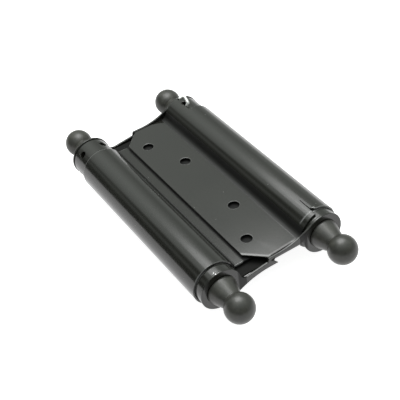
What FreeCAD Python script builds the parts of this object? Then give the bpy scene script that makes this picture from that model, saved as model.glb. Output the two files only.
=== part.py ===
import FreeCAD
import Part
import math
import os

# Double action spring hinge for a cafe door: two rolled barrels side by side,
# joined by a folded web with a figure-eight lug at each end. The origin lies midway
# between the two barrel axes. X runs across the barrels, Y along them, Z upwards.
# The right-hand leaf is the upper one; the left-hand half is the same set of pieces
# turned half a turn about Y.

# Sheet and overall sizes
axis_spacing = 57.2
barrel_length = 124.0
barrel_diameter = 23.0
leaf_sheet = 1.0
web_sheet = 1.1

# Leaf
leaf_face_height = 2.56
leaf_overlap = 10.5
leaf_corner_cut = 9.0
root_bend_radius = 3.5
closing_edge_gap_angle = 4.0
screw_hole_diameter = 5.7
countersink_diameter = 7.0
outer_screw_spacing = 91.4
outer_screw_offset = 2.5
inner_screw_spacing = 44.6
inner_screw_offset = 6.2

# Cut-backs of the rolled sheet that bare the two collars
sector_edge_angle = 99.5
plain_collar_exposed = 4.2
tension_collar_exposed = 12.7
relief_slit_length = 9.3
relief_slit_width = 0.35
tab_corner_cut = 2.0
end_relief_root = 0.9
end_relief_roll = 1.5

# Web and lugs
web_edge_gap = 1.1
strip_end_inset = 8.0
web_bend_inner_radius = 1.0
tongue_inner_edge = 1.0
lug_ring_radius = 10.7
arm_outer_reach = 2.7
arm_tip_reach = 0.5
arm_sweep_radius = 37.0
arm_step_half_width = 3.0
arm_neck_step = 0.6
lug_notch_radius = 3.2
lug_notch_height = 2.2

# Spindle, collars and washers
spindle_diameter = 6.4
square_side = 4.4
stud_diameter = 4.2
plain_collar_length = 12.0
tension_collar_length = 18.0
tommy_hole_count = 5
tommy_hole_diameter = 3.6
tommy_hole_depth = 4.0
tommy_hole_inset = 5.2
cross_pin_diameter = 2.0
cross_pin_inset = 7.5
washer_thickness = 0.5
washer_diameter = 19.0

# Stop pin
stop_pin_diameter = 1.7
stop_pin_inset = 8.5
stop_pin_straight = 0.6
stop_pin_knee_rise = 1.7
stop_pin_knee_side = 1.1
stop_pin_rise = 2.6
stop_pin_side = 1.7
stop_pin_lean = 4.2
stop_pin_arm = 2.9
stop_pin_arm_lean = 1.0
stop_pin_arm_drop = 0.7
stop_pin_bend_radius = 1.0
stop_pin_bend_facets = 2

# Spring
spring_wire_height = 1.5
spring_wire_width = 2.2
spring_turns = 6
spring_facets_per_turn = 16
spring_tang_length = 3.0

# Finials
finial_length = 21.3
ball_diameter = 14.4
ball_rings = 11
turned_facets = 32
finial_base_diameter = 15.2
finial_neck_diameter = 9.8
finial_lip = 0.8
stud_engagement = 9.0

# Clearances
end_clearance = 0.3
running_clearance = 0.08
washer_clearance = 0.05
square_clearance = 0.05
pin_clearance = 0.05
pin_edge_clearance = 0.1
spring_clearance = 0.5
cutter_overrun = 1.0

# Places worked out from the sizes above
axis_x = axis_spacing / 2
barrel_radius = barrel_diameter / 2
bore_radius = barrel_radius - leaf_sheet
half_barrel = barrel_length / 2
collar_radius = bore_radius - running_clearance
lug_inner = half_barrel + end_clearance
lug_outer = lug_inner + web_sheet
web_edge = axis_x - barrel_radius - web_edge_gap
strip_end = lug_outer - strip_end_inset
lug_side_end = lug_inner - washer_clearance
collar_end = lug_side_end - washer_thickness - washer_clearance
near_spring_face = -lug_side_end + plain_collar_length
far_spring_face = collar_end - tension_collar_length
cross_pin_y = -lug_side_end + cross_pin_inset
spindle_radius = spindle_diameter / 2
spring_inner_radius = bore_radius - spring_clearance - spring_wire_height
tommy_hole_y = collar_end - tommy_hole_inset
tommy_hole_step = 360.0 / tommy_hole_count
stop_pin_y = collar_end - stop_pin_inset
stop_pin_radius = stop_pin_diameter / 2
pin_edge_half_angle = math.degrees(math.asin((stop_pin_radius + pin_edge_clearance) / bore_radius))
stop_pin_angle = sector_edge_angle - pin_edge_half_angle
ball_radius = ball_diameter / 2
ball_y = lug_outer + finial_length - ball_radius

X_AXIS = FreeCAD.Vector(1, 0, 0)
Y_AXIS = FreeCAD.Vector(0, 1, 0)
Z_AXIS = FreeCAD.Vector(0, 0, 1)
ORIGIN = FreeCAD.Vector(0, 0, 0)


def section_point(x, z):
    """A point of a cross-section, which lies in the XZ plane."""
    return FreeCAD.Vector(x, 0, z)


def polar(radius, angle, y=0.0):
    """A point at an angle from +X towards +Z round the Y axis."""
    turn = math.radians(angle)
    return FreeCAD.Vector(radius * math.cos(turn), y, radius * math.sin(turn))


def line(start, end):
    return Part.LineSegment(start, end).toShape()


def arc(start, middle, end):
    return Part.Arc(start, middle, end).toShape()


def closed_polygon(points):
    edges = []
    for start, end in zip(points, points[1:] + points[:1]):
        edges.append(line(start, end))
    return Part.Face(Part.Wire(edges))


def extrude_y(face, start, end):
    """Extrude a face drawn at y = 0 from y = start to y = end."""
    solid = face.extrude(FreeCAD.Vector(0, end - start, 0))
    solid.translate(FreeCAD.Vector(0, start, 0))
    return solid


def rod_y(radius, start, end):
    return Part.makeCylinder(radius, end - start, FreeCAD.Vector(0, start, 0), Y_AXIS)


def radial_rod(radius, inner, outer, angle, y):
    """A round rod that points away from the Y axis at one angle."""
    start = polar(inner, angle, y)
    direction = polar(1.0, angle)
    return Part.makeCylinder(radius, outer - inner, start, direction)


def on_right_axis(shape):
    placed = shape.copy()
    placed.translate(FreeCAD.Vector(axis_x, 0, 0))
    return placed


def turned_to_left(shape):
    """The left-hand twin: the same piece turned half a turn about Y."""
    twin = shape.copy()
    twin.rotate(ORIGIN, Y_AXIS, 180)
    return twin


def root_bend_centre():
    """Centre of the bend between the flat leaf and the barrel, from the barrel axis."""
    height = leaf_face_height + root_bend_radius
    reach = barrel_radius + root_bend_radius
    return -math.sqrt(reach ** 2 - height ** 2), height


def sector_face(start_angle, end_angle):
    """Section of the rolled sheet between two angles, the end below the start."""
    middle = (start_angle + end_angle) / 2
    outer = arc(polar(barrel_radius, start_angle), polar(barrel_radius, middle),
                polar(barrel_radius, end_angle))
    closing = line(polar(barrel_radius, end_angle), polar(bore_radius, end_angle))
    inner = arc(polar(bore_radius, end_angle), polar(bore_radius, middle),
                polar(bore_radius, start_angle))
    opening = line(polar(bore_radius, start_angle), polar(barrel_radius, start_angle))
    return Part.Face(Part.Wire([outer, closing, inner, opening]))


def leaf_face():
    """Section of the flat leaf, the bend at its root and the full-length part of the roll."""
    bend_x, bend_z = root_bend_centre()
    root_angle = math.degrees(math.atan2(bend_z, bend_x))
    middle_angle = (root_angle + sector_edge_angle) / 2
    under_radius = root_bend_radius + leaf_sheet
    free_x = -leaf_overlap - axis_x
    top = leaf_face_height
    under = leaf_face_height - leaf_sheet
    bend_middle = math.radians((root_angle - 180 - 90) / 2)
    top_middle = section_point(bend_x + root_bend_radius * math.cos(bend_middle),
                               bend_z + root_bend_radius * math.sin(bend_middle))
    under_middle = section_point(bend_x + under_radius * math.cos(bend_middle),
                                 bend_z + under_radius * math.sin(bend_middle))
    edges = [
        line(section_point(free_x, top), section_point(bend_x, top)),
        arc(section_point(bend_x, top), top_middle, polar(barrel_radius, root_angle)),
        arc(polar(barrel_radius, root_angle), polar(barrel_radius, middle_angle),
            polar(barrel_radius, sector_edge_angle)),
        line(polar(barrel_radius, sector_edge_angle), polar(bore_radius, sector_edge_angle)),
        arc(polar(bore_radius, sector_edge_angle), polar(bore_radius, middle_angle),
            polar(bore_radius, root_angle)),
        arc(polar(bore_radius, root_angle), under_middle, section_point(bend_x, under)),
        line(section_point(bend_x, under), section_point(free_x, under)),
        line(section_point(free_x, under), section_point(free_x, top)),
    ]
    return Part.Face(Part.Wire(edges))


def corner_wedge(side):
    """Prism that cuts one free corner of the leaf at 45 degrees."""
    free_x = -leaf_overlap - axis_x
    outside_x = free_x - cutter_overrun
    outside_y = side * (half_barrel + cutter_overrun)
    points = [
        FreeCAD.Vector(outside_x, side * (half_barrel - leaf_corner_cut - cutter_overrun), 0),
        FreeCAD.Vector(outside_x, outside_y, 0),
        FreeCAD.Vector(free_x + leaf_corner_cut + cutter_overrun, outside_y, 0),
    ]
    return closed_polygon(points).extrude(FreeCAD.Vector(0, 0, leaf_face_height + cutter_overrun))


def screw_hole(x, y):
    """Through hole with its countersink on the inner face of the leaf."""
    radius = screw_hole_diameter / 2
    sink_radius = countersink_diameter / 2
    sink_depth = sink_radius - radius
    under = leaf_face_height - leaf_sheet
    through = Part.makeCylinder(radius, leaf_face_height, FreeCAD.Vector(x, y, under - leaf_sheet), Z_AXIS)
    sink = Part.makeCone(sink_radius, radius, sink_depth, FreeCAD.Vector(x, y, under), Z_AXIS)
    return through.fuse(sink)


def screw_places():
    """Screw holes of one leaf, measured from the barrel axis."""
    places = []
    for side in (-1, 1):
        places.append((-outer_screw_offset - axis_x, side * outer_screw_spacing / 2))
        places.append((inner_screw_offset - axis_x, side * inner_screw_spacing / 2))
    return places


def relief_slit(start, end):
    """Slit along the rolled sheet beside the full-length part."""
    depth = barrel_radius + leaf_sheet
    box = Part.makeBox(depth, end - start, relief_slit_width, FreeCAD.Vector(0, start, -relief_slit_width))
    box.rotate(ORIGIN, Y_AXIS, -sector_edge_angle)
    return box


def tab_corner(end_y):
    """Small corner cut at the free end of the near tab, beside the slit."""
    outer = barrel_radius + leaf_sheet
    points = [
        FreeCAD.Vector(0, end_y, 0),
        FreeCAD.Vector(0, end_y + tab_corner_cut, 0),
        FreeCAD.Vector(0, end_y, -tab_corner_cut),
    ]
    wedge = closed_polygon(points).extrude(FreeCAD.Vector(outer, 0, 0))
    wedge.rotate(ORIGIN, Y_AXIS, -sector_edge_angle)
    return wedge


def end_relief():
    """Prism that sets the near end of the blank back from the lug, most of all at the roll."""
    corner_x = -leaf_overlap + leaf_corner_cut - axis_x
    root_x = root_bend_centre()[0]
    outside_x = barrel_radius + cutter_overrun
    outside_y = -half_barrel - cutter_overrun
    bottom = -barrel_radius - cutter_overrun
    points = [
        FreeCAD.Vector(corner_x, -half_barrel, bottom),
        FreeCAD.Vector(root_x, -half_barrel + end_relief_root, bottom),
        FreeCAD.Vector(0, -half_barrel + end_relief_roll, bottom),
        FreeCAD.Vector(outside_x, -half_barrel + end_relief_roll, bottom),
        FreeCAD.Vector(outside_x, outside_y, bottom),
        FreeCAD.Vector(corner_x, outside_y, bottom),
    ]
    return closed_polygon(points).extrude(FreeCAD.Vector(0, 0, -2 * bottom))


def leaf_barrel():
    """One sheet: flat leaf, root bend and rolled barrel, with its cut-backs."""
    near_end = -half_barrel + plain_collar_exposed
    far_end = half_barrel - tension_collar_exposed
    closing_angle = -180 - closing_edge_gap_angle
    sheet = extrude_y(leaf_face(), -half_barrel, half_barrel)
    roll = extrude_y(sector_face(sector_edge_angle, closing_angle), near_end, far_end)
    sheet = sheet.fuse(roll)
    cuts = [corner_wedge(-1), corner_wedge(1), end_relief()]
    for x, y in screw_places():
        cuts.append(screw_hole(x, y))
    cuts.append(relief_slit(near_end, near_end + relief_slit_length))
    cuts.append(tab_corner(near_end))
    return sheet.cut(cuts).removeSplitter()


def arm_sweep(level, side_x):
    """Straight edge of an arm meeting the ring through one concave sweep.

    Returns the tangent point on the level line, a middle point and the tangent
    point on the ring, for an arm above its level line and a ring at side_x.
    """
    rise = level + arm_sweep_radius
    run = math.sqrt((lug_ring_radius + arm_sweep_radius) ** 2 - rise ** 2)
    inward = -1 if side_x > 0 else 1
    centre = section_point(side_x + inward * run, rise)
    ring_centre = section_point(side_x, 0)
    direction = (ring_centre - centre).normalize()
    on_ring = centre + direction * arm_sweep_radius
    on_level = section_point(centre.x, level)
    middle_direction = (direction + FreeCAD.Vector(0, 0, -1)).normalize()
    middle = centre + middle_direction * arm_sweep_radius
    return on_level, middle, on_ring


def upper_arm_face():
    """Right-hand arm of the lug above the bend, swept up onto the right ring."""
    on_level, middle, on_ring = arm_sweep(arm_outer_reach, axis_x)
    bend_top = web_bend_inner_radius + web_sheet / 2
    step = arm_step_half_width
    edges = [
        line(section_point(tongue_inner_edge, bend_top),
             section_point(tongue_inner_edge, arm_outer_reach)),
        line(section_point(tongue_inner_edge, arm_outer_reach), on_level),
        arc(on_level, middle, on_ring),
        line(on_ring, section_point(axis_x, 0)),
        line(section_point(axis_x, 0), section_point(axis_x - lug_ring_radius + step, bend_top)),
        line(section_point(axis_x - lug_ring_radius + step, bend_top),
             section_point(tongue_inner_edge, bend_top)),
    ]
    return Part.Face(Part.Wire(edges))


def notch_x():
    """Distance of the rounded notch beside the ring from the middle of the web."""
    return axis_x - lug_ring_radius - lug_notch_radius


def lower_arm_face():
    """Left-hand arm of the lug, hanging free of the web, with its slanting end."""
    on_level, middle, on_ring = arm_sweep(arm_outer_reach, axis_x)
    level_point = section_point(-on_level.x, -on_level.z)
    middle_point = section_point(-middle.x, -middle.z)
    ring_point = section_point(-on_ring.x, -on_ring.z)
    step = arm_step_half_width
    bend_top = web_bend_inner_radius + web_sheet / 2
    web_bottom = -web_sheet / 2
    slant = step - relief_slit_width
    apex = section_point(-slant / 2, arm_tip_reach + relief_slit_width)
    notch_side = section_point(-notch_x() - lug_notch_radius, lug_notch_height)
    notch_foot = section_point(-notch_x(), lug_notch_height - lug_notch_radius)
    tip = section_point(-step, arm_tip_reach)
    neck = section_point(-step + arm_neck_step, arm_outer_reach)
    edges = [
        line(ring_point, section_point(-axis_x, 0)),
        line(section_point(-axis_x, 0), notch_side),
        line(notch_side, notch_foot),
        line(notch_foot, tip),
        line(tip, neck),
        line(neck, section_point(tongue_inner_edge, arm_outer_reach)),
        line(section_point(tongue_inner_edge, arm_outer_reach),
             section_point(tongue_inner_edge, bend_top)),
        line(section_point(tongue_inner_edge, bend_top), apex),
        line(apex, section_point(tongue_inner_edge - relief_slit_width, web_bottom)),
        line(section_point(tongue_inner_edge - relief_slit_width, web_bottom),
             section_point(slant, -arm_outer_reach)),
        line(section_point(slant, -arm_outer_reach), level_point),
        arc(level_point, middle_point, ring_point),
    ]
    return Part.Face(Part.Wire(edges))


def lug(side):
    """Figure-eight lug at one end: two rings, two arms, a notch and square holes."""
    arms = extrude_y(lower_arm_face(), 0, web_sheet)
    notch_centre = section_point(-notch_x(), lug_notch_height)
    arms = arms.cut(Part.makeCylinder(lug_notch_radius, web_sheet, notch_centre, Y_AXIS))
    plate = arms.fuse(extrude_y(upper_arm_face(), 0, web_sheet))
    hole_side = square_side + 2 * square_clearance
    cuts = []
    for centre_x in (-axis_x, axis_x):
        ring_centre = section_point(centre_x, 0)
        plate = plate.fuse(Part.makeCylinder(lug_ring_radius, web_sheet, ring_centre, Y_AXIS))
        corner = FreeCAD.Vector(centre_x - hole_side / 2, 0, -hole_side / 2)
        cuts.append(Part.makeBox(hole_side, web_sheet, hole_side, corner))
    plate = plate.cut(cuts)
    start = lug_inner if side > 0 else -lug_outer
    plate.translate(FreeCAD.Vector(0, start, 0))
    return plate


def web_bend(side):
    """Quarter bend that carries the tongue up into the lug."""
    inner = web_bend_inner_radius
    outer = inner + web_sheet
    centre_y = lug_inner - inner
    centre_z = web_sheet / 2 + inner
    half = math.sqrt(0.5)
    x = tongue_inner_edge

    def bend_point(radius, y_part, z_part):
        return FreeCAD.Vector(x, side * (centre_y + radius * y_part), centre_z - radius * z_part)

    edges = [
        arc(bend_point(outer, 0, 1), bend_point(outer, half, half), bend_point(outer, 1, 0)),
        line(bend_point(outer, 1, 0), bend_point(inner, 1, 0)),
        arc(bend_point(inner, 1, 0), bend_point(inner, half, half), bend_point(inner, 0, 1)),
        line(bend_point(inner, 0, 1), bend_point(outer, 0, 1)),
    ]
    return Part.Face(Part.Wire(edges)).extrude(FreeCAD.Vector(web_edge - x, 0, 0))


def web_frame():
    """One sheet: the strip between the barrels and a folded-up lug at each end."""
    half = web_sheet / 2
    tongue_end = lug_inner - web_bend_inner_radius
    strip_corner = FreeCAD.Vector(-web_edge, -strip_end, -half)
    tongue_corner = FreeCAD.Vector(tongue_inner_edge, -tongue_end, -half)
    web = Part.makeBox(2 * web_edge, 2 * strip_end, web_sheet, strip_corner)
    tongue = Part.makeBox(web_edge - tongue_inner_edge, 2 * tongue_end, web_sheet, tongue_corner)
    web = web.fuse(tongue)
    for side in (-1, 1):
        web = web.fuse(web_bend(side))
        web = web.fuse(lug(side))
    return web.removeSplitter()


def cross_pin_hole():
    radius = cross_pin_diameter / 2 + pin_clearance
    return radial_rod(radius, -barrel_radius, barrel_radius, stop_pin_angle, cross_pin_y)


def spindle():
    """Steel spindle: round between the lugs, square in them, a stud at each end."""
    stud_end = lug_outer + stud_engagement
    shaft = rod_y(spindle_radius, -lug_side_end, lug_side_end)
    square = Part.makeBox(square_side, 2 * lug_outer, square_side,
                          FreeCAD.Vector(-square_side / 2, -lug_outer, -square_side / 2))
    stud = rod_y(stud_diameter / 2, -stud_end, stud_end)
    return shaft.fuse([square, stud]).cut(cross_pin_hole()).removeSplitter()


def tang_pocket(y_start, y_end):
    """Pocket in a collar face for the spring's straight tang."""
    height = spring_wire_height + 2 * pin_clearance
    width = spring_wire_width + 2 * pin_clearance
    corner = FreeCAD.Vector(spring_inner_radius - pin_clearance, y_start, -width / 2)
    return Part.makeBox(height, y_end - y_start, width, corner)


def plain_collar():
    """Fixed collar at the near end, keyed to the spindle by its cross pin."""
    body = rod_y(collar_radius, -lug_side_end, near_spring_face)
    bore = rod_y(spindle_radius + running_clearance, -lug_side_end, near_spring_face)
    pocket = tang_pocket(near_spring_face - spring_tang_length - pin_clearance, near_spring_face)
    return body.cut([bore, cross_pin_hole(), pocket])


def tension_collar():
    """Collar at the far end that winds the spring: tommy-bar holes and the stop pin's hole."""
    body = rod_y(collar_radius, far_spring_face, collar_end)
    hole_foot = collar_radius - tommy_hole_depth
    pin_hole_radius = stop_pin_radius + pin_clearance
    cuts = [
        rod_y(spindle_radius + running_clearance, far_spring_face, collar_end),
        radial_rod(pin_hole_radius, hole_foot, barrel_radius, stop_pin_angle, stop_pin_y),
    ]
    for index in range(tommy_hole_count):
        angle = stop_pin_angle + index * tommy_hole_step
        cuts.append(radial_rod(tommy_hole_diameter / 2, hole_foot, barrel_radius, angle, tommy_hole_y))
    cuts.append(tang_pocket(far_spring_face, far_spring_face + spring_tang_length + pin_clearance))
    return body.cut(cuts)


def cross_pin():
    half_length = collar_radius - pin_clearance
    return radial_rod(cross_pin_diameter / 2, -half_length, half_length, stop_pin_angle, cross_pin_y)


def washer():
    """Thrust washer between the far lug and the tension collar, which turns against it."""
    start = lug_side_end - washer_thickness
    disc = rod_y(washer_diameter / 2, start, lug_side_end)
    return disc.cut(rod_y(spindle_radius + running_clearance, start, lug_side_end))


def bend_points(before, corner, after, radius, facets):
    """Points of one bend, tangent to the two runs that meet at its corner."""
    towards_before = (before - corner).normalize()
    towards_after = (after - corner).normalize()
    half_angle = towards_before.getAngle(towards_after) / 2
    centre = corner + (towards_before + towards_after).normalize() * (radius / math.sin(half_angle))
    start = corner + towards_before * (radius / math.tan(half_angle)) - centre
    end = corner + towards_after * (radius / math.tan(half_angle)) - centre
    sweep = start.getAngle(end)
    points = []
    for index in range(facets + 1):
        part = sweep * index / facets
        spoke = (start * math.sin(sweep - part) + end * math.sin(part)) * (1 / math.sin(sweep))
        points.append(centre + spoke)
    return points


def stop_pin():
    """Bent pin that stands in the tension collar and bears on the edge of the sheet."""
    foot = collar_radius - tommy_hole_depth + pin_clearance
    knee = collar_radius + stop_pin_knee_rise
    crest = barrel_radius + stop_pin_rise
    corners = [
        FreeCAD.Vector(foot, 0, 0),
        FreeCAD.Vector(collar_radius + stop_pin_straight, 0, 0),
        FreeCAD.Vector(knee, 0, -stop_pin_knee_side),
        FreeCAD.Vector(crest, stop_pin_lean, -stop_pin_side),
        FreeCAD.Vector(crest - stop_pin_arm_drop, stop_pin_lean + stop_pin_arm_lean,
                       stop_pin_arm - stop_pin_side),
    ]
    path = [corners[0]]
    for before, corner, after in zip(corners, corners[1:], corners[2:]):
        path.extend(bend_points(before, corner, after, stop_pin_bend_radius, stop_pin_bend_facets))
    path.append(corners[-1])
    section = Part.Wire(Part.makeCircle(stop_pin_radius, path[0], X_AXIS))
    mitred = 1
    pin = Part.makePolygon(path).makePipeShell([section], True, False, mitred)
    pin.translate(FreeCAD.Vector(0, stop_pin_y, 0))
    pin.rotate(ORIGIN, Y_AXIS, -stop_pin_angle)
    return pin


def wire_section(angle, y):
    """Section of the spring wire where the coil stands at one angle and one y."""
    half = spring_wire_width / 2
    outer = spring_inner_radius + spring_wire_height
    corners = [
        polar(spring_inner_radius, angle, y - half),
        polar(outer, angle, y - half),
        polar(outer, angle, y + half),
        polar(spring_inner_radius, angle, y + half),
    ]
    return Part.makePolygon(corners + corners[:1])


def torsion_spring():
    """Coil of rectangular wire with a straight tang in a pocket of each collar."""
    margin = spring_wire_width / 2 + pin_clearance
    coil_start = near_spring_face + margin
    coil_end = far_spring_face - margin
    steps = spring_turns * spring_facets_per_turn
    sections = []
    for index in range(steps + 1):
        part = index / steps
        y = coil_start + (coil_end - coil_start) * part
        sections.append(wire_section(360 * spring_turns * part, y))
    coil = Part.makeLoft(sections, True, True)
    tangs = []
    for start, end in ((near_spring_face - spring_tang_length, coil_start),
                       (coil_end, far_spring_face + spring_tang_length)):
        corner = FreeCAD.Vector(spring_inner_radius, start, -spring_wire_width / 2)
        tangs.append(Part.makeBox(spring_wire_height, end - start, spring_wire_width, corner))
    return coil.fuse(tangs)


def turned_body(rings, tip):
    """Turned piece with even facets: (radius, y) rings from its flat base to its tip."""
    step = 360 / turned_facets
    faces = []
    for index in range(turned_facets):
        angle = index * step
        for (radius, y), (next_radius, next_y) in zip(rings, rings[1:]):
            corners = [
                polar(radius, angle, y),
                polar(radius, angle + step, y),
                polar(next_radius, angle + step, next_y),
                polar(next_radius, angle, next_y),
            ]
            faces.append(closed_polygon(corners))
        last_radius, last_y = rings[-1]
        start = polar(last_radius, angle, last_y)
        end = polar(last_radius, angle + step, last_y)
        faces.append(closed_polygon([start, end, tip]))
    base_radius, base_y = rings[0]
    base = [polar(base_radius, index * step, base_y) for index in range(turned_facets)]
    faces.append(closed_polygon(base))
    return Part.Solid(Part.makeShell(faces))


def finial():
    """Turned ball finial at the far end: flat base, tapered neck, ball and blind bore."""
    base = finial_base_diameter / 2
    neck_angle = math.asin(finial_neck_diameter / ball_diameter)
    chamfer = finial_lip / 2
    rings = [(base - chamfer, lug_outer), (base, lug_outer + chamfer), (base, lug_outer + finial_lip)]
    for index in range(ball_rings):
        angle = neck_angle + (math.pi - neck_angle) * index / ball_rings
        rings.append((ball_radius * math.sin(angle), ball_y - ball_radius * math.cos(angle)))
    body = turned_body(rings, FreeCAD.Vector(0, ball_y + ball_radius, 0))
    bore = rod_y(stud_diameter / 2 + pin_clearance, lug_outer, lug_outer + stud_engagement + end_clearance)
    return body.cut(bore)


def to_near_end(shape):
    """The same piece at the other end of its barrel."""
    twin = shape.copy()
    twin.rotate(ORIGIN, Z_AXIS, 180)
    return twin


def build_pieces():
    pieces = {"web_frame": web_frame()}
    right_hand = {
        "leaf_barrel": leaf_barrel(),
        "spindle": spindle(),
        "torsion_spring": torsion_spring(),
        "tension_collar": tension_collar(),
        "plain_collar": plain_collar(),
        "collar_cross_pin": cross_pin(),
        "stop_pin": stop_pin(),
        "thrust_washer": washer(),
        "far_ball_finial": finial(),
        "near_ball_finial": to_near_end(finial()),
    }
    for name, shape in right_hand.items():
        placed = on_right_axis(shape)
        pieces["right_" + name] = placed
        pieces["left_" + name] = turned_to_left(placed)
    return pieces


def main():
    os.makedirs("parts", exist_ok=True)
    for name, shape in build_pieces().items():
        solid = shape.Solids[0] if len(shape.Solids) == 1 else shape
        print(name, "solids", len(shape.Solids), "valid", shape.isValid(), "volume", round(shape.Volume, 1))
        solid.exportStep("parts/" + name + ".step")


main()
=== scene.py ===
import bmesh
import bpy
import math
from mathutils import Matrix, Vector


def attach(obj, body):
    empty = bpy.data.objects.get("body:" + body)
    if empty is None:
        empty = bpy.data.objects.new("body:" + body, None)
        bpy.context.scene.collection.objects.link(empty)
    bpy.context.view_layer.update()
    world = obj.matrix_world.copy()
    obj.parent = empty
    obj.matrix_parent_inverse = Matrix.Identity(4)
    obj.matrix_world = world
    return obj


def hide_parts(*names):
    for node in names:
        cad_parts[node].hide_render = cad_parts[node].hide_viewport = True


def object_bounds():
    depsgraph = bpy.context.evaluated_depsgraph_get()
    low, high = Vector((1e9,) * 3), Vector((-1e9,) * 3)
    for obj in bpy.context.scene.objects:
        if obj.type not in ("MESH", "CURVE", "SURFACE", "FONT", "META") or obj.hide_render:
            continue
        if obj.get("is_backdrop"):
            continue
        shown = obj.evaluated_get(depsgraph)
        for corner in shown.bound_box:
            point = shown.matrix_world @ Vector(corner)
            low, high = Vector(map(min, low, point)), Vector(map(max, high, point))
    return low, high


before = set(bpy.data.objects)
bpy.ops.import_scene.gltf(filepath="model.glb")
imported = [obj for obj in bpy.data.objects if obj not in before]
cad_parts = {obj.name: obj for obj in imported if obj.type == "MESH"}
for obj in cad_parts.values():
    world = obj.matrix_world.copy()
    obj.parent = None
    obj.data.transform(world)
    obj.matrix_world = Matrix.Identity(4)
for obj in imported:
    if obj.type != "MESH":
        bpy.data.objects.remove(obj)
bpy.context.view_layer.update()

# Double action spring hinge. Lengths are in metres and repeat the part's own sizes.
MM = 0.001
AXIS_X = 28.6 * MM
BARREL_RADIUS = 11.5 * MM
HALF_BARREL = 62.0 * MM
LUG_OUTER = 63.4 * MM
STRIP_END = 55.4 * MM
WEB_SHEET = 1.1 * MM

# Turned finials
FINIAL_LENGTH = 21.3 * MM
BALL_RADIUS = 7.2 * MM
BASE_RADIUS = 7.6 * MM
NECK_RADIUS = 4.9 * MM
LIP_HEIGHT = 0.8 * MM
LIP_ROUND = 0.3 * MM
BORE_RADIUS = 2.2 * MM
BORE_DEPTH = 9.3 * MM
TURNED_STEPS = 72
BALL_RINGS = 30

# Stop pin: a straight foot, a knee, a lean towards the far end and an arm back over the sheet
PIN_RADIUS = 0.85 * MM
PIN_Y = 53.2 * MM
PIN_ANGLE = math.radians(94.31)
PIN_FOOT = 6.47 * MM
PIN_STRAIGHT_END = 11.02 * MM
PIN_KNEE = 12.12 * MM
PIN_KNEE_SIDE = 1.1 * MM
PIN_CREST = 14.1 * MM
PIN_SIDE = 1.7 * MM
PIN_LEAN = 4.2 * MM
PIN_ARM = 2.9 * MM
PIN_ARM_LEAN = 1.0 * MM
PIN_ARM_DROP = 0.7 * MM
PIN_BEND_RADIUS = 1.0 * MM
PIN_SIDES = 28
PIN_BEND_STEPS = 8

# Leaf: one sheet, flat, then bent up at its root and rolled round the barrel axis
LEAF_SHEET = 1.0 * MM
LEAF_TOP = 2.56 * MM
FREE_EDGE_X = -39.1 * MM
CORNER_CUT = 9.0 * MM
ROOT_BEND_RADIUS = 3.5 * MM
SECTOR_EDGE = math.radians(99.5)
CLOSING_EDGE = math.radians(-184)
PLAIN_COLLAR_BARED = 4.2 * MM
TENSION_COLLAR_BARED = 12.7 * MM
SLIT_LENGTH = 9.3 * MM
SLIT_WIDTH = 0.35 * MM
TAB_CORNER_CUT = 2.0 * MM
END_RELIEF_ROOT = 0.9 * MM
END_RELIEF_ROLL = 1.5 * MM
HOLE_RADIUS = 2.85 * MM
SINK_RADIUS = 3.5 * MM
SINK_DEPTH = 0.65 * MM
SCREW_PLACES = (
    (-31.1 * MM, -45.7 * MM),
    (-31.1 * MM, 45.7 * MM),
    (-22.4 * MM, -22.3 * MM),
    (-22.4 * MM, 22.3 * MM),
)
HOLE_SIDES = 48
ROOT_STEPS = 14
ROLL_STEP = math.radians(4)
SHEARED_BAND = 1.4 * MM
SHEARED_DROP = 0.40 * MM
SHEARED_BOW = 0.05 * MM
SHEARED_STEPS = 12

# Edges of the sheet and of the turned collars
WELD_DISTANCE = 1e-6
FLAT_ANGLE = math.radians(0.5)
CORNER_ANGLE = math.radians(35)
LEAF_EDGE_ROUND = 0.28 * MM
SLIT_EDGE_WEIGHT = 0.12
WEB_EDGE_ROUND = 0.25 * MM
STRIP_END_ROUND = 0.5 * MM
COLLAR_EDGE_ROUND = 0.22 * MM
EDGE_SEGMENTS = 3


# Places where the enamel is chipped, with the reach of each, and the places along the barrel of the sheet's rims,
# which get a painted highlight
SHEET_CHIPS = (
    ((-30.2 * MM, -62.0 * MM, 10.3 * MM), 2.4 * MM),
    ((27.7 * MM, 49.0 * MM, 11.2 * MM), 1.3 * MM),
    ((28.7 * MM, -56.6 * MM, 11.4 * MM), 1.6 * MM),
)
HIGHLIGHTED_SHEET_RIMS = (PLAIN_COLLAR_BARED - HALF_BARREL, HALF_BARREL - TENSION_COLLAR_BARED)
WEB_CHIPS = (
    ((-29.6 * MM, -62.6 * MM, 10.6 * MM), 2.4 * MM),
    ((27.5 * MM, 63.4 * MM, 10.6 * MM), 1.3 * MM),
)


class Value:
    """A number that varies over a surface. Python's operators add Math nodes."""

    def __init__(self, finish, socket):
        self.finish = finish
        self.socket = socket

    def maths(self, operation, *numbers):
        return self.finish.maths(operation, *numbers)

    def __add__(self, other):
        return self.maths("ADD", self, other)

    def __radd__(self, other):
        return self.maths("ADD", other, self)

    def __sub__(self, other):
        return self.maths("SUBTRACT", self, other)

    def __rsub__(self, other):
        return self.maths("SUBTRACT", other, self)

    def __mul__(self, other):
        return self.maths("MULTIPLY", self, other)

    def __rmul__(self, other):
        return self.maths("MULTIPLY", other, self)

    def __truediv__(self, other):
        return self.maths("DIVIDE", self, other)

    def above(self, other):
        return self.maths("GREATER_THAN", self, other)

    def size(self):
        return self.maths("ABSOLUTE", self)

    def larger(self, other):
        return self.maths("MAXIMUM", self, other)

    def ramp(self, low, high):
        """0 below low and 1 above high, with a smooth rise between them."""
        return self.finish.node("ShaderNodeMapRange", {"interpolation_type": "SMOOTHSTEP"},
                                {"Value": self, "From Min": low, "From Max": high})["Result"]


class Outputs:
    """The outputs of one node, by name."""

    def __init__(self, finish, node):
        self.finish = finish
        self.outputs = node.outputs

    def __getitem__(self, name):
        return Value(self.finish, self.outputs[name])


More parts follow.
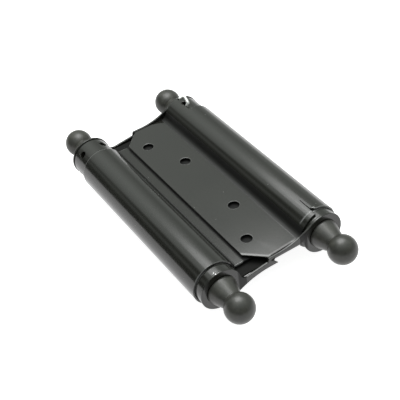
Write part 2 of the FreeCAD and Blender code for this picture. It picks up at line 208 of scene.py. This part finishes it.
class Finish:
    """Builds one node tree."""

    def __init__(self, tree):
        self.tree = tree
        tree.nodes.clear()

    def node(self, kind, settings=None, inputs=None):
        """Adds a node: its settings first, then the values or links of its inputs."""
        made = self.tree.nodes.new(kind)
        for name, setting in (settings or {}).items():
            setattr(made, name, setting)
        for name, value in (inputs or {}).items():
            if isinstance(value, Value):
                self.tree.links.new(value.socket, made.inputs[name])
            else:
                made.inputs[name].default_value = value
        return Outputs(self, made)

    def maths(self, operation, *numbers):
        inputs = {place: number for place, number in enumerate(numbers)}
        return self.node("ShaderNodeMath", {"operation": operation}, inputs)["Value"]

    def colour_mix(self, factor, first, second):
        made = self.tree.nodes.new("ShaderNodeMix")
        made.data_type = "RGBA"
        for place, value in ((0, factor), (6, first), (7, second)):
            if isinstance(value, Value):
                self.tree.links.new(value.socket, made.inputs[place])
            else:
                made.inputs[place].default_value = value
        return Value(self, made.outputs[2])

    def place(self):
        return self.node("ShaderNodeTexCoord")["Object"]

    def noise(self, place, scale, detail=2.0, roughness=0.5):
        inputs = {"Vector": place, "Scale": scale, "Detail": detail, "Roughness": roughness}
        return self.node("ShaderNodeTexNoise", {}, inputs)["Fac"]

    def bump(self, height, distance, strength=1.0):
        inputs = {"Height": height, "Distance": distance, "Strength": strength}
        return self.node("ShaderNodeBump", {}, inputs)["Normal"]

    def surface(self, inputs):
        shader = self.node("ShaderNodeBsdfPrincipled", {}, inputs)["BSDF"]
        self.node("ShaderNodeOutputMaterial", {}, {"Surface": shader})


def new_finish(name):
    material = bpy.data.materials.new(name)
    material.use_nodes = True
    return material, Finish(material.node_tree)


def grey(value, alpha=1.0):
    return (value, value, value, alpha)


def near_point(finish, place, point, reach):
    """1 at a point of the object, fading to 0 at its reach."""
    offset = finish.node("ShaderNodeVectorMath", {"operation": "DISTANCE"}, {0: place, 1: point})["Value"]
    return 1 - offset.ramp(reach * 0.4, reach)


def black_enamel(name, chips=(), highlighted_rims=(), covered_to=None):
    """Glossy black enamel on sheet steel: faint smudges, waviness and a few specks of dust.

    A strip that lies covered up to a distance from the middle plane is matt there, with its colour darkened as
    painted shade under the leaf, and the ends of the strip carry a painted highlight.
    """
    material, finish = new_finish(name)
    place = finish.place()
    smudge = finish.noise(place, 45.0, 3.0, 0.55)
    grain = finish.noise(place, 1400.0, 2.0)
    waves = finish.noise(place, 28.0, 1.0)
    cells = finish.node("ShaderNodeTexVoronoi", {}, {"Vector": place, "Scale": 210.0})
    chosen = finish.node("ShaderNodeSeparateColor", {}, {"Color": cells["Color"]})["Red"].above(0.35)
    dust = (1 - cells["Distance"].ramp(0.024, 0.046)) * chosen
    colour = finish.colour_mix(smudge.ramp(0.3, 0.7), (0.0127, 0.0129, 0.0106, 1), (0.0167, 0.0171, 0.0140, 1))
    colour = finish.colour_mix(dust * 0.7, colour, grey(0.30))
    roughness = 0.15 + smudge * 0.10 + dust * 0.4
    metal = dust * 0.0
    for point, reach in chips:
        flakes = finish.noise(place, 1700.0, 3.0, 0.7)
        chipped = (near_point(finish, place, point, reach) * flakes).ramp(0.55, 0.60)
        colour = finish.colour_mix(chipped, colour, grey(0.60))
        metal = metal + chipped
    height = grain * 0.06 + waves
    coat = 0.85 - smudge * 0.35
    parts = finish.node("ShaderNodeSeparateXYZ", {}, {"Vector": place})
    across, along, up = (parts[axis].size() for axis in "XYZ")
    # The root bends are matt, and their colour is also darkened nearly to black there: painted shade in the crease
    # between leaf and barrel.
    root = across.ramp(15.0 * MM, 15.4 * MM) * (1 - across.ramp(18.9 * MM, 20.0 * MM)) * (1 - up.ramp(6.2 * MM, 7.4 * MM))
    colour = finish.colour_mix(root * 0.8, colour, grey(0.003))
    roughness = roughness.larger(root * 0.5)
    coat = coat * (1 - root)
    # Painted highlight: the rims of the rolled sheet at the given places along the barrel, and less the rings round
    # the screw holes, are lightened to grey as if their edges caught the light.
    if highlighted_rims:
        near_rim, far_rim = (1 - (parts["Y"] - y).size().ramp(0.25 * MM, 0.55 * MM) for y in highlighted_rims)
        far_rim = far_rim * (1 - parts["X"].above(0))
        painted_rim_highlight = near_rim.larger(far_rim) * across.ramp(19 * MM, 21 * MM) * smudge.ramp(0.35, 0.6)
        for x, y in SCREW_PLACES:
            middle = (AXIS_X + x, y, LEAF_TOP)
            offset = finish.node("ShaderNodeVectorMath", {"operation": "DISTANCE"}, {0: place, 1: middle})["Value"]
            painted_rim_highlight = painted_rim_highlight.larger(offset.ramp(2.80 * MM, 2.90 * MM) * (1 - offset.ramp(3.05 * MM, 3.20 * MM)) * 0.55)
        colour = finish.colour_mix(painted_rim_highlight, colour, grey(0.16))
    if covered_to:
        strip = (1 - up.ramp(0.9 * MM, 1.1 * MM)) * (1 - along.ramp(HALF_BARREL - 2 * MM, HALF_BARREL - MM))
        # Under the leaf the strip is matt, and its colour is darkened nearly to black as painted shade, so that it
        # looks black through the screw holes.
        matt_and_shaded_under_leaf = strip * (1 - across.ramp(covered_to - MM, covered_to))
        coat = coat * (1 - strip * 0.45)
        # Painted highlight: the strip's ends are lightened to grey where their rounded edges would catch the light.
        strip_end_highlight = (1 - (along - STRIP_END).size().ramp(0.3 * MM, 0.6 * MM)) * across.ramp(11.0 * MM, 12.0 * MM)
        colour = finish.colour_mix(strip * strip_end_highlight, colour, grey(0.24))
        colour = finish.colour_mix(matt_and_shaded_under_leaf, colour, grey(0.008))
        roughness = roughness.larger(matt_and_shaded_under_leaf * 0.85)
        coat = coat * (1 - matt_and_shaded_under_leaf)
    finish.surface({
        "Base Color": colour,
        "Roughness": roughness,
        "Metallic": metal,
        "Coat Weight": coat,
        "Coat Roughness": 0.12,
        "Normal": finish.bump(height, 0.00004),
    })
    return material


def thin_black(name):
    """Thin matt black inside the rolled sheet, where little enamel reaches."""
    material, finish = new_finish(name)
    cloud = finish.noise(finish.place(), 120.0, 3.0, 0.6)
    colour = finish.colour_mix(cloud, (0.010, 0.010, 0.010, 1), (0.018, 0.018, 0.017, 1))
    finish.surface({"Base Color": colour, "Roughness": 0.62 + cloud * 0.2, "Specular IOR Level": 0.12})
    return material


def black_turned(name, gloss):
    """Satin black on the turned finials, thin enough to look slightly warm."""
    material, finish = new_finish(name)
    place = finish.place()
    blotch = finish.noise(place, 260.0, 3.0, 0.6)
    grain = finish.noise(place, 2600.0, 2.0)
    colour = finish.colour_mix(blotch.ramp(0.35, 0.68), (0.034, 0.0341, 0.0295, 1), (0.056, 0.0555, 0.047, 1))
    finish.surface({
        "Base Color": colour,
        "Roughness": 0.46 - gloss * 0.12 + blotch * 0.12,
        "Coat Weight": (0.75 - blotch * 0.3) * gloss,
        "Coat Roughness": 0.30,
        "Normal": finish.bump(grain * 0.4 + blotch, 0.00003),
    })
    return material


def zinc_plate():
    material, finish = new_finish("zinc_plate")
    place = finish.place()
    cloud = finish.noise(place, 900.0, 2.0)
    colour = finish.colour_mix(cloud, (0.78, 0.79, 0.77, 1), (0.90, 0.91, 0.89, 1))
    finish.surface({"Base Color": colour, "Roughness": 0.34 + cloud * 0.1, "Metallic": 0.65})
    return material


def steel(name, shade, roughness):
    material, finish = new_finish(name)
    place = finish.place()
    cloud = finish.noise(place, 500.0, 3.0)
    colour = finish.colour_mix(cloud, grey(shade * 0.8), grey(shade))
    finish.surface({"Base Color": colour, "Roughness": roughness + cloud * 0.12, "Metallic": 1.0})
    return material


def new_piece(shape, name, material, body, nodes):
    """Turns a finished bmesh into a piece that rides on its body and stands for its nodes."""
    mesh = bpy.data.meshes.new(name)
    shape.to_mesh(mesh)
    shape.free()
    mesh.materials.append(material)
    mesh.shade_smooth()
    piece = bpy.data.objects.new(name, mesh)
    bpy.context.scene.collection.objects.link(piece)
    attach(piece, body)
    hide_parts(*nodes)
    return piece


def round_edges(piece, radius, limit="ANGLE"):
    rounding = piece.modifiers.new("rounded_edges", "BEVEL")
    rounding.width = radius
    rounding.segments = EDGE_SEGMENTS
    rounding.limit_method = limit
    rounding.angle_limit = CORNER_ANGLE
    rounding.harden_normals = False
    rounding.use_clamp_overlap = False
    flats = piece.modifiers.new("even_normals", "WEIGHTED_NORMAL")
    flats.mode = "FACE_AREA"
    flats.weight = 90


def welded_copy(node):
    """A node's mesh with its triangles joined into whole faces."""
    shape = bmesh.new()
    shape.from_mesh(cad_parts[node].data)
    bmesh.ops.remove_doubles(shape, verts=shape.verts, dist=WELD_DISTANCE)
    bmesh.ops.dissolve_limit(shape, angle_limit=FLAT_ANGLE, verts=shape.verts, edges=shape.edges)
    return shape


def web_and_lugs(material):
    """The web, with the two ends of its strip drawn down further than its other edges."""
    shape = welded_copy("web_frame")
    slack = 0.02 * MM
    ends = [edge for edge in shape.edges
            if all(abs(abs(end.co.y) - STRIP_END) < slack and abs(end.co.z) < WEB_SHEET for end in edge.verts)
            and abs(edge.verts[0].co.x - edge.verts[1].co.x) > MM]
    bmesh.ops.bevel(shape, geom=ends, offset=STRIP_END_ROUND, affect="EDGES", segments=6, profile=0.5, material=-1)
    piece = new_piece(shape, "web_frame_finished", material, "web", ["web_frame"])
    round_edges(piece, WEB_EDGE_ROUND)


def edge_rounded(node, material, body, radius):
    """A collar with its edges rounded, so that they catch the light."""
    shape = welded_copy(node)
    piece = new_piece(shape, node + "_finished", material, body, [node])
    round_edges(piece, radius)
    return piece


def polar(radius, turn, y):
    """A point round the barrel axis, turned from +X towards +Z."""
    return Vector((radius * math.cos(turn), y, radius * math.sin(turn)))


def edge_line(shape, points):
    """A row of vertices joined by edges."""
    row = [shape.verts.new(point) for point in points]
    return row, [shape.edges.new(pair) for pair in zip(row, row[1:])]


def spun_row(shape, row, centre, axis, turn, steps):
    """Spins a row of vertices and edges and returns the last row."""
    swept = bmesh.ops.spin(shape, geom=row, cent=centre, axis=axis, dvec=(0, 0, 0), angle=turn, steps=steps,
                           use_merge=False, use_normal_flip=False, use_duplicate=False)
    return [part for part in swept["geom_last"] if not isinstance(part, bmesh.types.BMFace)]


def row_between(row, near, far):
    """The part of a row whose vertices lie between two places along the barrel."""
    slack = 0.01 * MM
    kept = [part for part in row if isinstance(part, bmesh.types.BMVert) and near - slack < part.co.y < far + slack]
    edges = [part for part in row if isinstance(part, bmesh.types.BMEdge) and all(end in kept for end in part.verts)]
    return kept + edges


def near_end_at(x, bend_x):
    """Place of the blank's near end, which is set back from the lug towards the roll."""
    part = min(1.0, (x - bend_x) / -bend_x)
    return -HALF_BARREL + END_RELIEF_ROOT + (END_RELIEF_ROLL - END_RELIEF_ROOT) * part


def flat_leaf(shape, bend_x):
    """Outer skin of the flat leaf with its corner cuts, screw holes and drawn-down near edge.

    Returns the row of vertices and edges where the root bend starts.
    """
    corner_x = FREE_EDGE_X + CORNER_CUT
    root_end = -HALF_BARREL + END_RELIEF_ROOT
    mitre = math.tan(math.pi / 8) * SHEARED_BAND
    stations = [
        root_end + SHEARED_BAND,
        -HALF_BARREL + PLAIN_COLLAR_BARED,
        -HALF_BARREL + PLAIN_COLLAR_BARED + SLIT_LENGTH,
        HALF_BARREL - TENSION_COLLAR_BARED,
        HALF_BARREL,
    ]
    root_row, root_edges = edge_line(shape, [Vector((bend_x, y, LEAF_TOP)) for y in stations])
    inner_end = Vector((corner_x + mitre, -HALF_BARREL + SHEARED_BAND, LEAF_TOP))
    inner_points = [Vector((FREE_EDGE_X, -HALF_BARREL + CORNER_CUT + SHEARED_BAND * math.sqrt(2), LEAF_TOP))]
    inner_points += [inner_end.lerp(root_row[0].co, step / SHEARED_STEPS) for step in range(SHEARED_STEPS)]
    inner_row, inner_edges = edge_line(shape, inner_points)
    inner_edges.append(shape.edges.new((inner_row[-1], root_row[0])))
    far_row, far_edges = edge_line(shape, [
        Vector((corner_x, HALF_BARREL, LEAF_TOP)),
        Vector((FREE_EDGE_X, HALF_BARREL - CORNER_CUT, LEAF_TOP)),
    ])
    outline = root_edges + inner_edges + far_edges
    outline.append(shape.edges.new((root_row[-1], far_row[0])))
    outline.append(shape.edges.new((far_row[-1], inner_row[0])))
    for x, y in SCREW_PLACES:
        ring = bmesh.ops.create_circle(shape, segments=HOLE_SIDES, radius=HOLE_RADIUS, cap_ends=False,
                                       matrix=Matrix.Translation((x, y, LEAF_TOP)))["verts"]
        outline += list({edge for vertex in ring for edge in vertex.link_edges})
    bmesh.ops.triangle_fill(shape, use_beauty=True, use_dissolve=False, edges=outline, normal=(0, 0, 1))

    drawn = bmesh.ops.extrude_edge_only(shape, edges=inner_edges)["geom"]
    drawn_verts = sorted((part for part in drawn if isinstance(part, bmesh.types.BMVert)), key=lambda part: part.co.x)
    outer_points = [Vector((FREE_EDGE_X, -HALF_BARREL + CORNER_CUT, LEAF_TOP - SHEARED_DROP))]
    outer_end = Vector((corner_x, -HALF_BARREL, LEAF_TOP))
    root_corner = Vector((bend_x, root_end, LEAF_TOP))
    for step in range(SHEARED_STEPS + 1):
        part = step / SHEARED_STEPS
        point = outer_end.lerp(root_corner, part)
        point.z -= SHEARED_DROP * min(1.0, 5 * (1 - part)) + SHEARED_BOW * math.sin(math.pi * part)
        outer_points.append(point)
    for vertex, point in zip(drawn_verts, outer_points):
        vertex.co = point
    root_join = next(edge for edge in drawn_verts[-1].link_edges if root_row[0] in edge.verts)
    return root_row + [drawn_verts[-1]] + root_edges + [root_join]


def rolled_sheet(shape, root, bend_x, bend_z):
    """Outer skin of the root bend and the roll, with the cut-backs and the slit left open."""
    near_roll = -HALF_BARREL + PLAIN_COLLAR_BARED
    slit_end = near_roll + SLIT_LENGTH
    far_roll = HALF_BARREL - TENSION_COLLAR_BARED
    root_turn = math.atan2(bend_z, bend_x)
    slit_turn = SLIT_WIDTH / BARREL_RADIUS
    row = spun_row(shape, root, (bend_x, 0, bend_z), (0, -1, 0), root_turn - math.pi / 2, ROOT_STEPS)
    row = spun_row(shape, row, (0, 0, 0), (0, 1, 0), root_turn - SECTOR_EDGE, math.ceil((root_turn - SECTOR_EDGE) / ROLL_STEP))
    for vertex in shape.verts:
        on_near_end = vertex.co.y < -HALF_BARREL + END_RELIEF_ROOT + 0.01 * MM
        if on_near_end and vertex.co.x > bend_x + 0.01 * MM:
            vertex.co.y = near_end_at(vertex.co.x, bend_x)
    body = spun_row(shape, row_between(row, slit_end, far_roll), (0, 0, 0), (0, 1, 0), slit_turn, 1)
    slit_corner = min((part for part in body if isinstance(part, bmesh.types.BMVert)), key=lambda part: part.co.y)
    tab_corner = shape.verts.new(polar(BARREL_RADIUS, SECTOR_EDGE - slit_turn, near_roll))
    tab_edge = shape.edges.new((tab_corner, slit_corner))
    roll_turn = SECTOR_EDGE - slit_turn - CLOSING_EDGE
    spun_row(shape, body + [tab_corner, tab_edge], (0, 0, 0), (0, 1, 0), roll_turn, math.ceil(roll_turn / ROLL_STEP))

    cut_turn = TAB_CORNER_CUT / BARREL_RADIUS
    cut_start = polar(BARREL_RADIUS, SECTOR_EDGE - slit_turn, near_roll + TAB_CORNER_CUT)
    cut_end = polar(BARREL_RADIUS, SECTOR_EDGE - slit_turn - cut_turn, near_roll)
    outwards = polar(1.0, SECTOR_EDGE - slit_turn - cut_turn / 2, 0)
    away = (cut_end - cut_start).cross(outwards).normalized()
    if away.y > 0:
        away.negate()
    tab = set()
    for face in shape.faces:
        centre = face.calc_center_median()
        if near_roll < centre.y < slit_end and -1.5 * MM < centre.x < 4 * MM and centre.z > 0:
            tab.update((face, *face.edges, *face.verts))
    bmesh.ops.bisect_plane(shape, geom=list(tab), dist=WELD_DISTANCE, plane_co=cut_start, plane_no=away,
                           clear_outer=True, clear_inner=False)


def sink_screw_holes(shape):
    """Opens the inner side of each screw hole into its countersink."""
    under = LEAF_TOP - LEAF_SHEET
    for x, y in SCREW_PLACES:
        wall = set()
        for face in shape.faces:
            centre = face.calc_center_median()
            if math.hypot(centre.x - x, centre.y - y) < HOLE_RADIUS:
                wall.update((face, *face.edges, *face.verts))
        bmesh.ops.bisect_plane(shape, geom=list(wall), dist=WELD_DISTANCE, plane_co=(0, 0, under + SINK_DEPTH),
                               plane_no=(0, 0, 1), clear_outer=False, clear_inner=False)
        rim = [vertex for vertex in shape.verts if vertex.co.z < under + SINK_DEPTH / 2
               and math.hypot(vertex.co.x - x, vertex.co.y - y) < HOLE_RADIUS + 0.1 * MM]
        bmesh.ops.scale(shape, verts=rim, vec=(SINK_RADIUS / HOLE_RADIUS, SINK_RADIUS / HOLE_RADIUS, 1),
                        space=Matrix.Translation((-x, -y, 0)))


def weigh_edges(shape):
    """Sheared edges are rounded in full, and those of the narrow slit hardly at all."""
    weight = shape.edges.layers.float.new("bevel_weight_edge")
    near_roll = -HALF_BARREL + PLAIN_COLLAR_BARED
    for edge in shape.edges:
        if not edge.is_manifold or edge.calc_face_angle() < CORNER_ANGLE:
            continue
        middle = (edge.verts[0].co + edge.verts[1].co) / 2
        turn = math.atan2(middle.z, middle.x)
        by_slit = near_roll < middle.y < near_roll + SLIT_LENGTH + SLIT_WIDTH and abs(turn - SECTOR_EDGE) < 0.06
        edge[weight] = SLIT_EDGE_WEIGHT if by_slit else 1.0


def leaf_and_barrel(hand, side, outside, inside):
    """The rolled leaf and barrel in one sheet, drawn on its barrel axis and then put in place."""
    height = LEAF_TOP + ROOT_BEND_RADIUS
    bend_x = -math.sqrt((BARREL_RADIUS + ROOT_BEND_RADIUS) ** 2 - height ** 2)
    shape = bmesh.new()
    rolled_sheet(shape, flat_leaf(shape, bend_x), bend_x, height)
    bmesh.ops.remove_doubles(shape, verts=shape.verts, dist=WELD_DISTANCE)
    bmesh.ops.recalc_face_normals(shape, faces=shape.faces)
    skin = {tuple(round(length, 7) for length in vertex.co) for vertex in shape.verts}
    bmesh.ops.solidify(shape, geom=list(shape.faces), thickness=LEAF_SHEET)
    for face in shape.faces:
        on_skin = [tuple(round(length, 7) for length in vertex.co) in skin for vertex in face.verts]
        face.material_index = 0 if any(on_skin) else 1
    sink_screw_holes(shape)
    bmesh.ops.dissolve_limit(shape, angle_limit=FLAT_ANGLE, verts=shape.verts, edges=shape.edges)
    weigh_edges(shape)
    place = Matrix.Translation((AXIS_X, 0, 0))
    if side < 0:
        place = Matrix.Rotation(math.pi, 4, "Y") @ place
    bmesh.ops.transform(shape, matrix=place, verts=shape.verts)
    name = hand + "_leaf_barrel"
    piece = new_piece(shape, name + "_rolled", outside, hand + "_leaf", [name])
    piece.data.materials.append(inside)
    round_edges(piece, LEAF_EDGE_ROUND, "WEIGHT")


def finial_profile():
    """Half outline of a finial from its bore to the ball's tip, as (radius, distance from the lug)."""
    neck_angle = math.asin(NECK_RADIUS / BALL_RADIUS)
    ball_y = FINIAL_LENGTH - BALL_RADIUS
    outline = [(BORE_RADIUS, BORE_DEPTH), (BORE_RADIUS, 0), (BASE_RADIUS - LIP_HEIGHT / 2, 0)]
    for step in range(5):
        turn = math.radians(90 * step / 4)
        outline.append((BASE_RADIUS - LIP_ROUND * (1 - math.sin(turn)), LIP_HEIGHT / 2 - LIP_ROUND * math.cos(turn)))
    outline.append((BASE_RADIUS, LIP_HEIGHT))
    neck_y = ball_y - BALL_RADIUS * math.cos(neck_angle)
    for step in range(1, 9):
        part = step / 9
        outline.append((BASE_RADIUS + (NECK_RADIUS - BASE_RADIUS) * part, LIP_HEIGHT + (neck_y - LIP_HEIGHT) * part))
    for ring in range(BALL_RINGS):
        turn = neck_angle + (math.pi - neck_angle) * ring / BALL_RINGS
        outline.append((BALL_RADIUS * math.sin(turn), ball_y - BALL_RADIUS * math.cos(turn)))
    outline.append((0, FINIAL_LENGTH))
    return [(0, BORE_DEPTH)] + outline


def ball_finial(side, end, name, material):
    """One turned finial, spun about its barrel axis at the far (1) or near (-1) end."""
    shape = bmesh.new()
    before = None
    for radius, reach in finial_profile():
        vertex = shape.verts.new((radius, end * (LUG_OUTER + reach), 0))
        if before:
            shape.edges.new((before, vertex))
        before = vertex
    bmesh.ops.spin(shape, geom=shape.verts[:] + shape.edges[:], cent=(0, 0, 0), axis=(0, 1, 0), dvec=(0, 0, 0),
                   angle=math.tau, steps=TURNED_STEPS, use_merge=True, use_normal_flip=False, use_duplicate=False)
    bmesh.ops.remove_doubles(shape, verts=shape.verts, dist=WELD_DISTANCE)
    bmesh.ops.recalc_face_normals(shape, faces=shape.faces)
    bmesh.ops.translate(shape, verts=shape.verts, vec=(side * AXIS_X, 0, 0))
    piece = new_piece(shape, name + "_turned", material, "web", [name])
    piece.data.set_sharp_from_angle(angle=CORNER_ANGLE)
    return piece


def bend(shape, ring, centre, axis, turn):
    """Sweeps a ring of edges round a bend and returns the last ring."""
    swept = bmesh.ops.spin(shape, geom=ring, cent=centre, axis=axis, dvec=(0, 0, 0), angle=turn,
                           steps=PIN_BEND_STEPS, use_merge=False, use_normal_flip=False, use_duplicate=False)
    return [part for part in swept["geom_last"] if isinstance(part, (bmesh.types.BMVert, bmesh.types.BMEdge))]


def run(shape, ring, step):
    """Extends a ring of edges along a straight run and returns the last ring."""
    edges = [part for part in ring if isinstance(part, bmesh.types.BMEdge)]
    extruded = bmesh.ops.extrude_edge_only(shape, edges=edges)
    moved = [part for part in extruded["geom"] if isinstance(part, bmesh.types.BMVert)]
    bmesh.ops.translate(shape, verts=moved, vec=step)
    return [part for part in extruded["geom"] if not isinstance(part, bmesh.types.BMFace)]


def stop_pin(side, material):
    """Bent pin, drawn standing along +Z on its barrel axis and then turned into its place."""
    corners = [
        Vector((0, 0, PIN_FOOT)),
        Vector((0, 0, PIN_STRAIGHT_END)),
        Vector((PIN_KNEE_SIDE, 0, PIN_KNEE)),
        Vector((PIN_SIDE, PIN_LEAN, PIN_CREST)),
        Vector((PIN_SIDE - PIN_ARM, PIN_LEAN + PIN_ARM_LEAN, PIN_CREST - PIN_ARM_DROP)),
    ]
    shape = bmesh.new()
    bmesh.ops.create_circle(shape, segments=PIN_SIDES, radius=PIN_RADIUS, cap_ends=False)
    bmesh.ops.translate(shape, verts=shape.verts, vec=corners[0])
    first = shape.verts[:] + shape.edges[:]
    ring = first
    start = corners[0]
    for before, corner, after in zip(corners, corners[1:], corners[2:]):
        heading = (corner - before).normalized()
        leaving = (after - corner).normalized()
        turn = heading.angle(leaving)
        setback = PIN_BEND_RADIUS * math.tan(turn / 2)
        bend_start = corner - heading * setback
        ring = run(shape, ring, bend_start - start)
        inward = (leaving - heading * heading.dot(leaving)).normalized()
        ring = bend(shape, ring, bend_start + inward * PIN_BEND_RADIUS, heading.cross(leaving), turn)
        start = corner + leaving * setback
    ring = run(shape, ring, corners[-1] - start)
    bmesh.ops.contextual_create(shape, geom=[part for part in first if isinstance(part, bmesh.types.BMEdge)])
    bmesh.ops.contextual_create(shape, geom=[part for part in ring if isinstance(part, bmesh.types.BMEdge)])
    bmesh.ops.remove_doubles(shape, verts=shape.verts, dist=WELD_DISTANCE)
    bmesh.ops.recalc_face_normals(shape, faces=shape.faces)
    place = Matrix.Rotation(math.pi / 2 - PIN_ANGLE, 4, "Y")
    place = Matrix.Translation((AXIS_X, PIN_Y, 0)) @ place
    if side < 0:
        place = Matrix.Rotation(math.pi, 4, "Y") @ place
    bmesh.ops.transform(shape, matrix=place, verts=shape.verts)
    hand = "right" if side > 0 else "left"
    piece = new_piece(shape, hand + "_stop_pin_bent", material, hand + "_winder", [hand + "_stop_pin"])
    piece.data.set_sharp_from_angle(angle=math.radians(50))
    return piece


def paint(node, material):
    """Gives a CAD node that stays in view its finish."""
    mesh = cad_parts[node].data
    mesh.materials.clear()
    mesh.materials.append(material)


def dress_hinge():
    enamel = black_enamel("black_enamel", SHEET_CHIPS, HIGHLIGHTED_SHEET_RIMS)
    turned = black_turned("black_turned", 1.0)
    dull_turned = black_turned("black_turned_dull", 0.8)
    unpolished = thin_black("thin_black")
    zinc = zinc_plate()
    bright = steel("bright_steel", 0.62, 0.25)
    oiled = steel("oiled_spring_steel", 0.24, 0.32)
    covered = black_enamel("covered_enamel", WEB_CHIPS, covered_to=11.6 * MM)
    web_and_lugs(covered)
    for hand, side in (("right", 1), ("left", -1)):
        leaf_and_barrel(hand, side, enamel, unpolished)
        edge_rounded(hand + "_tension_collar", enamel, hand + "_winder", COLLAR_EDGE_ROUND)
        edge_rounded(hand + "_plain_collar", enamel, "web", COLLAR_EDGE_ROUND)
        ball_finial(side, 1, hand + "_far_ball_finial", dull_turned)
        ball_finial(side, -1, hand + "_near_ball_finial", turned)
        stop_pin(side, zinc)
        paint(hand + "_spindle", bright)
        paint(hand + "_collar_cross_pin", bright)
        paint(hand + "_thrust_washer", oiled)
        paint(hand + "_torsion_spring", oiled)


# Studio
FLOOR_SIZE = 1.2
BACKDROP_GLOW = 1.0
CEILING_GLOW = 0.94
FLOOR_LIFT = 0.90


def white_floor(height):
    """Pale floor that the camera and the gloss see as white, and that keeps the shadow."""
    material, finish = new_finish("white_floor")
    ray = finish.node("ShaderNodeLightPath")
    mirrored = ray["Is Glossy Ray"].larger(ray["Is Transmission Ray"])
    paper = finish.node("ShaderNodeBsdfDiffuse", {}, {"Color": grey(0.78)})["BSDF"]
    lift = finish.node("ShaderNodeEmission", {}, {"Color": grey(1.0), "Strength": ray["Is Camera Ray"] * FLOOR_LIFT})
    seen = finish.node("ShaderNodeAddShader", {}, {0: paper, 1: lift["Emission"]})["Shader"]
    glow = finish.node("ShaderNodeEmission", {}, {"Color": grey(1.0), "Strength": BACKDROP_GLOW})["Emission"]
    shader = finish.node("ShaderNodeMixShader", {}, {0: mirrored, 1: seen, 2: glow})["Shader"]
    finish.node("ShaderNodeOutputMaterial", {}, {"Surface": shader})
    shape = bmesh.new()
    bmesh.ops.create_grid(shape, x_segments=1, y_segments=1, size=FLOOR_SIZE / 2)
    bmesh.ops.translate(shape, verts=shape.verts, vec=(0, 0, height))
    mesh = bpy.data.meshes.new("floor")
    shape.to_mesh(mesh)
    shape.free()
    mesh.materials.append(material)
    floor = bpy.data.objects.new("floor", mesh)
    bpy.context.scene.collection.objects.link(floor)
    floor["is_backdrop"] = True


def studio_walls():
    """White to the camera. Gloss sees a bright ceiling, a pale right side and a dark far left."""
    world = bpy.data.worlds.new("studio")
    world.use_nodes = True
    bpy.context.scene.world = world
    finish = Finish(world.node_tree)
    direction = finish.node("ShaderNodeTexCoord")["Generated"]
    parts = finish.node("ShaderNodeSeparateXYZ", {}, {"Vector": direction})
    lamp_way = Vector((0.10, 0.20, 0.97)).normalized()
    facing = finish.node("ShaderNodeVectorMath", {"operation": "DOT_PRODUCT"}, {0: direction, 1: lamp_way})["Value"]
    across, along = parts["X"], parts["Y"]
    behind = along.ramp(0.15, 0.50)
    ceiling = facing.ramp(0.25, 0.95) * (1 - behind * across.ramp(0.0, 0.55) * 0.35)
    right_side = across.ramp(0.25, 0.75) * 0.40
    back_wall = along.ramp(0.55, 0.98) * 0.25
    far_left = (0 - across).ramp(0.41, 0.51)
    dark_corner = behind * far_left
    grey_band = far_left * (1 - (parts["Z"] - 0.38).size().ramp(0.03, 0.11)) * 0.24
    lit = (ceiling * CEILING_GLOW).larger(right_side).larger(back_wall) * (1 - dark_corner)
    strength = 0.06 + lit.larger(grey_band)
    camera_ray = finish.node("ShaderNodeLightPath")["Is Camera Ray"]
    strength = strength.larger(camera_ray)
    tint = finish.colour_mix(camera_ray, (0.94, 1.0, 0.945, 1), grey(1.0))
    seen = finish.node("ShaderNodeBackground", {}, {"Color": tint, "Strength": strength})["Background"]
    finish.node("ShaderNodeOutputWorld", {}, {"Surface": seen})


def softbox(name, place, target, width, height, power):
    light = bpy.data.lights.new(name, "AREA")
    light.shape = "RECTANGLE"
    light.size = width
    light.size_y = height
    light.energy = power
    lamp = bpy.data.objects.new(name, light)
    lamp.location = place
    lamp.rotation_euler = (Vector(target) - Vector(place)).to_track_quat("-Z", "Y").to_euler()
    bpy.context.scene.collection.objects.link(lamp)


def photo_camera():
    """Camera at the photo's own azimuth, elevation, roll and distance from the hinge."""
    azimuth, elevation, roll = math.radians(-27.069), math.radians(40.625), math.radians(-8.703)
    distance, slide_right, slide_up = 0.47019, 0.000525, -0.004312
    back = Vector((math.sin(azimuth) * math.cos(elevation), -math.cos(azimuth) * math.cos(elevation),
                   math.sin(elevation)))
    level_right = (-back).cross(Vector((0, 0, 1))).normalized()
    level_up = level_right.cross(-back)
    right = level_right * math.cos(roll) + level_up * math.sin(roll)
    up = level_up * math.cos(roll) - level_right * math.sin(roll)
    place = back * distance + right * slide_right + up * slide_up
    lens = bpy.data.cameras.new("photo_camera")
    lens.sensor_width = 36.0
    lens.lens = 84.446
    lens.clip_start = 0.01
    lens.clip_end = 20.0
    camera = bpy.data.objects.new("photo_camera", lens)
    camera.matrix_world = Matrix((
        (right.x, up.x, back.x, place.x),
        (right.y, up.y, back.y, place.y),
        (right.z, up.z, back.z, place.z),
        (0, 0, 0, 1),
    ))
    bpy.context.scene.collection.objects.link(camera)
    bpy.context.scene.camera = camera


dress_hinge()
white_floor(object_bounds()[0].z)
studio_walls()
softbox("overhead_softbox", (0.08, 0.17, 0.50), (0.08, 0.17, 0), 0.44, 0.44, 1.15)
softbox("middle_softbox", (0.06, 0.10, 0.50), (0, 0, 0), 0.30, 0.30, 0.80)
photo_camera()
bpy.context.scene.view_settings.view_transform = "Standard"
